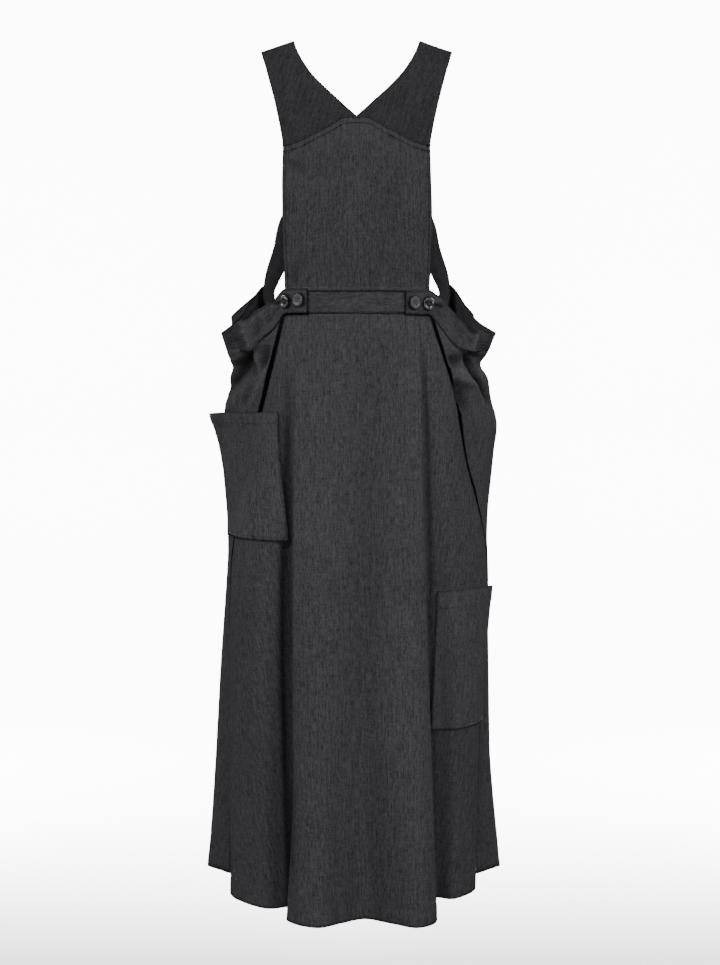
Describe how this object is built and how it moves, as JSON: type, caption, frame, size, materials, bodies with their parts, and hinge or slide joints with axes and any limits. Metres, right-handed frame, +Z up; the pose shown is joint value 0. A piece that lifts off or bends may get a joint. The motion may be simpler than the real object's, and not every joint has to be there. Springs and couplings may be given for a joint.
{
  "type": "pinafore dress",
  "caption": "Long apron pinafore dress in worn form: V-neck bib, crossed back straps, flared skirt, buttoned side tabs, patch pockets",
  "frame": {"origin": "midway between the two shoulders, level with the middle of the shoulder folds, where the wearer holds the dress up", "axes": "+X to the viewer's right seen from the front, -Y to the front, +Z up along the length of the dress"},
  "size_m": [0.4585, 0.4164, 1.2564],
  "materials": {
    "cloth": "matt charcoal plain weave with darker and lighter streaks along the warp",
    "cloth_yoke": "the same cloth cut on the slant, a little darker",
    "button": "dark four-hole button with a raised rim"
  },
  "bodies": {
    "root": {"yoke_left": "cloth_yoke", "yoke_right": "cloth_yoke", "bib": "cloth", "waistband_front": "cloth", "skirt_front": "cloth", "skirt_back": "cloth", "waistband_back": "cloth", "back_strap_left": "cloth_yoke", "back_strap_right": "cloth_yoke", "pocket_hip": "cloth", "pocket_thigh": "cloth", "button_left_outer": "button", "button_left_inner": "button", "button_right_inner": "button", "button_right_outer": "button"}
  },
  "joints": []
}
